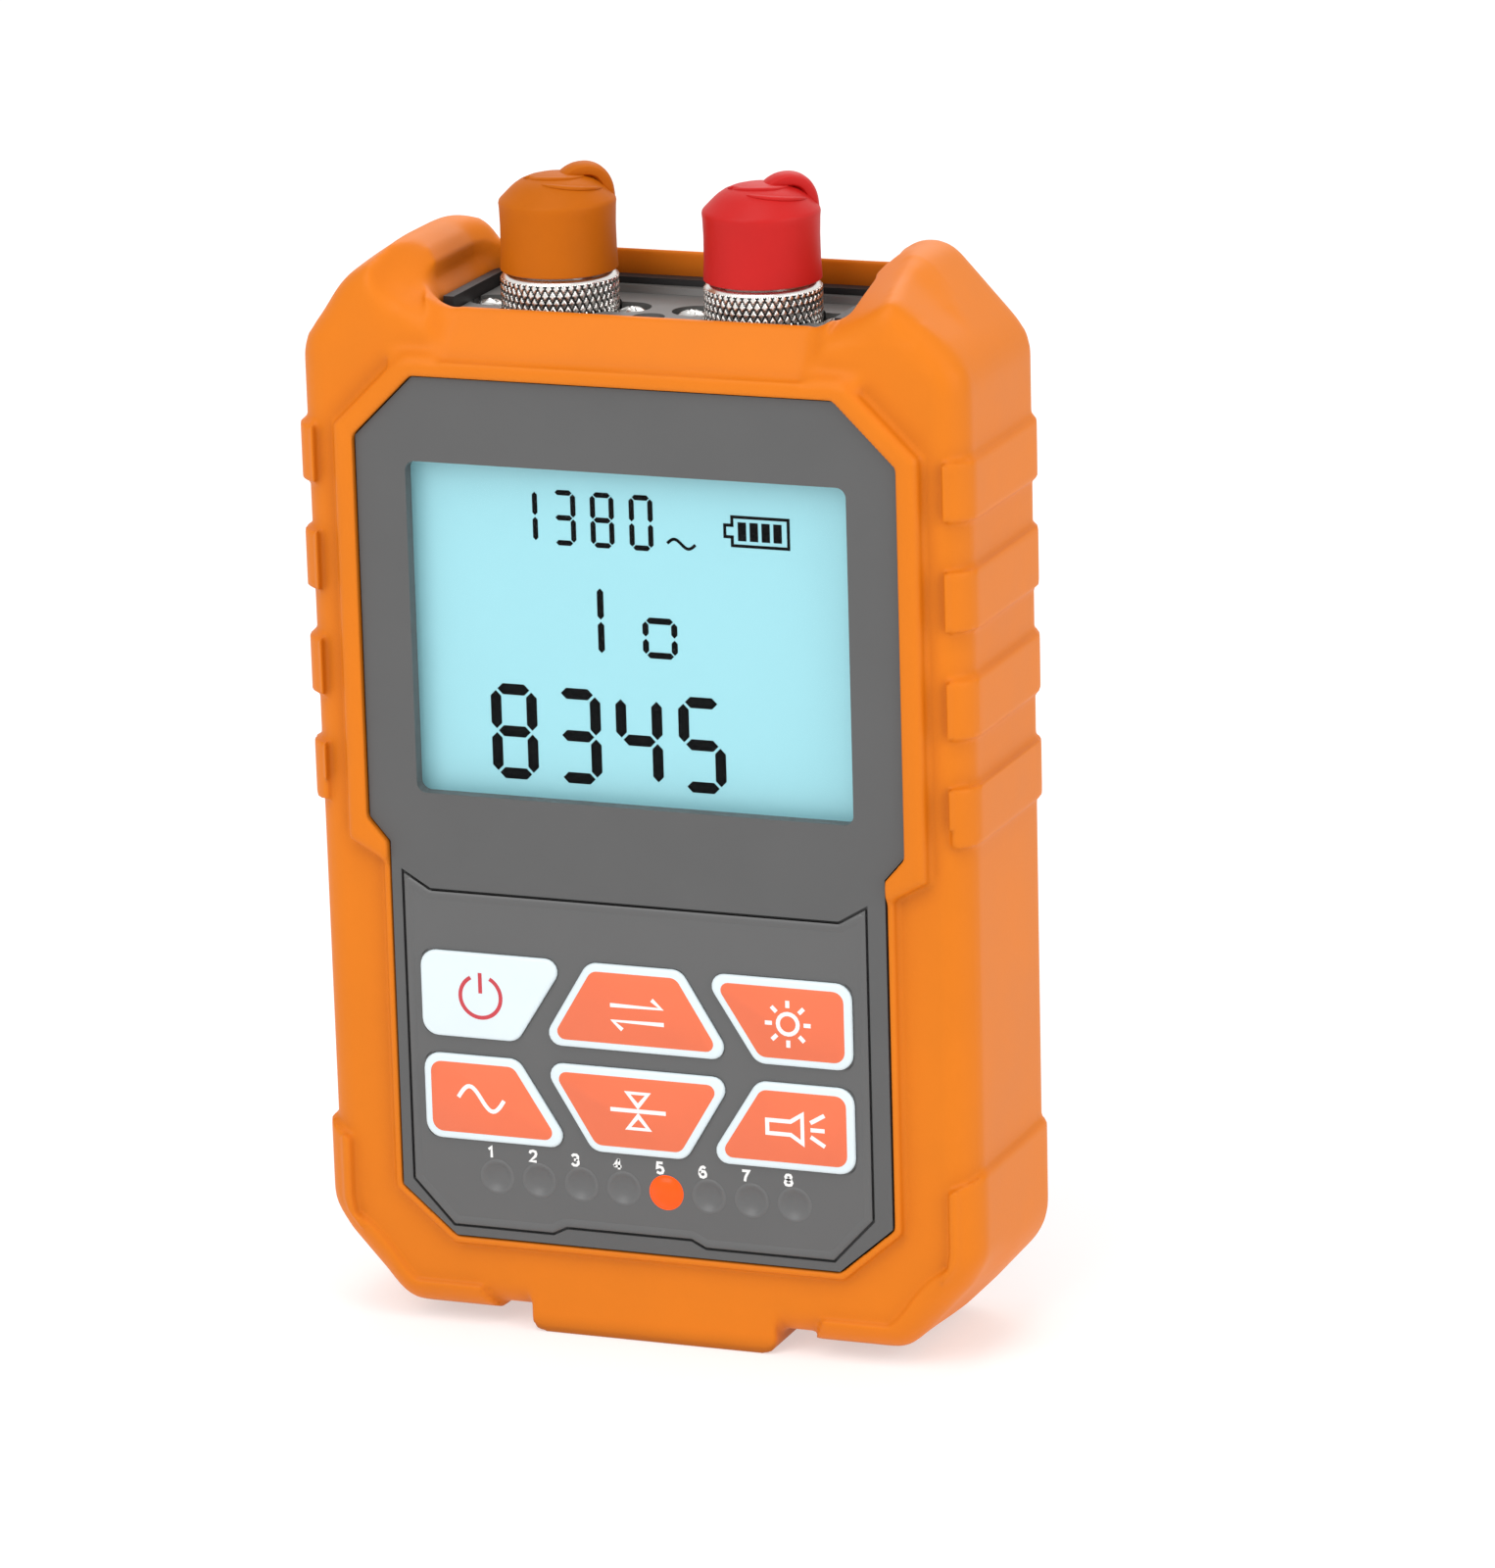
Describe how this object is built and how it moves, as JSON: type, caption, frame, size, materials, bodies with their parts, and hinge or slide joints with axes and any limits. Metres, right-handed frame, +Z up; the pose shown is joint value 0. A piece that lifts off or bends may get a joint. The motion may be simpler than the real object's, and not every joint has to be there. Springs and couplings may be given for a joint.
{
  "type": "handheld optical power meter",
  "caption": "Pocket fibre tester: display, trapezoid keys and indicator row in a grey case, rubber sleeve with grip lugs, capped threaded optical ports on top, network socket below.",
  "frame": {"origin": "centre of the bounding box's base, on the bottom face of the sleeve's foot block", "axes": "+Z up along the meter towards its ports, +Y from the display to the back, +X to the right as the display is read"},
  "size_m": [0.07, 0.024, 0.1162],
  "materials": {
    "sleeve_rubber": "fine matt",
    "shell_grey": "fine texture",
    "overlay_grey": "satin",
    "key_coral": "satin",
    "key_white": "satin",
    "mat_grey": "matt",
    "lens_clear": "clear",
    "lens_lit": "lit",
    "window_clear": "clear",
    "display_glass": "satin",
    "light_white": "satin",
    "strip_grey": "matt",
    "board_green": "satin",
    "chip_black": "matt",
    "plate_grey": "satin",
    "bright_metal": "polished",
    "ring_metal": "knurled",
    "screw_steel": "polished",
    "sleeve_ceramic": "polished",
    "cap_orange": "satin",
    "cap_red": "satin",
    "cell_wrap": "satin",
    "spring_steel": "bright",
    "socket_black": "satin",
    "gasket_black": "matt",
    "pin_gold": "bright"
  },
  "bodies": {
    "meter": {"protective_sleeve": "sleeve_rubber", "front_housing": "shell_grey", "rear_housing": "shell_grey", "housing_screws": "screw_steel", "display_window": "window_clear", "display_cell": "display_glass", "backlight_panel": "light_white", "contact_strip": "strip_grey", "keypad_overlay": "overlay_grey", "keypad_mat": "mat_grey", "board_lamps": "light_white", "main_board": "board_green", "control_chip": "chip_black", "battery_1": "cell_wrap", "battery_2": "cell_wrap", "battery_3": "cell_wrap", "battery_springs": "spring_steel", "battery_contacts": "spring_steel", "port_plate": "plate_grey", "port_gasket": "gasket_black", "flange_screws": "screw_steel", "torch_lamp": "lens_clear", "power_port_adapter": "bright_metal", "power_port_ring": "ring_metal", "power_port_ferrule_sleeve": "sleeve_ceramic", "fault_port_adapter": "bright_metal", "fault_port_ring": "ring_metal", "fault_port_ferrule_sleeve": "sleeve_ceramic", "photodiode": "screw_steel", "laser_module": "screw_steel", "network_socket": "socket_black", "socket_pins": "pin_gold", "indicator_1": "lens_clear", "indicator_2": "lens_clear", "indicator_3": "lens_clear", "indicator_4": "lens_clear", "indicator_5": "lens_lit", "indicator_6": "lens_clear", "indicator_7": "lens_clear", "indicator_8": "lens_clear"},
    "key_power": {"key_power": "key_white"},
    "key_unit": {"key_unit": "key_coral"},
    "key_backlight": {"key_backlight": "key_coral"},
    "key_wavelength": {"key_wavelength": "key_coral"},
    "key_reference": {"key_reference": "key_coral"},
    "key_torch": {"key_torch": "key_coral"},
    "power_port_cap": {"power_port_cap": "cap_orange"},
    "fault_port_cap": {"fault_port_cap": "cap_red"},
    "battery_cover": {"battery_cover": "shell_grey"}
  },
  "joints": [
    {"name": "key_power_press", "type": "slide", "parent": "meter", "child": "key_power", "axis": [0, 1, 0], "range_m": [0, 0.0004], "stiffness_N_per_m": 1500, "springref_m": -0.0002},
    {"name": "key_unit_press", "type": "slide", "parent": "meter", "child": "key_unit", "axis": [0, 1, 0], "range_m": [0, 0.0004], "stiffness_N_per_m": 1500, "springref_m": -0.0002},
    {"name": "key_backlight_press", "type": "slide", "parent": "meter", "child": "key_backlight", "axis": [0, 1, 0], "range_m": [0, 0.0004], "stiffness_N_per_m": 1500, "springref_m": -0.0002},
    {"name": "key_wavelength_press", "type": "slide", "parent": "meter", "child": "key_wavelength", "axis": [0, 1, 0], "range_m": [0, 0.0004], "stiffness_N_per_m": 1500, "springref_m": -0.0002},
    {"name": "key_reference_press", "type": "slide", "parent": "meter", "child": "key_reference", "axis": [0, 1, 0], "range_m": [0, 0.0004], "stiffness_N_per_m": 1500, "springref_m": -0.0002},
    {"name": "key_torch_press", "type": "slide", "parent": "meter", "child": "key_torch", "axis": [0, 1, 0], "range_m": [0, 0.0004], "stiffness_N_per_m": 1500, "springref_m": -0.0002},
    {"name": "power_port_cap_pull", "type": "slide", "parent": "meter", "child": "power_port_cap", "axis": [0, 0, 1], "range_m": [0, 0.014]},
    {"name": "fault_port_cap_pull", "type": "slide", "parent": "meter", "child": "fault_port_cap", "axis": [0, 0, 1], "range_m": [0, 0.014]},
    {"name": "battery_cover_lift", "type": "slide", "parent": "meter", "child": "battery_cover", "axis": [0, 1, 0], "range_m": [0, 0.012]}
  ]
}
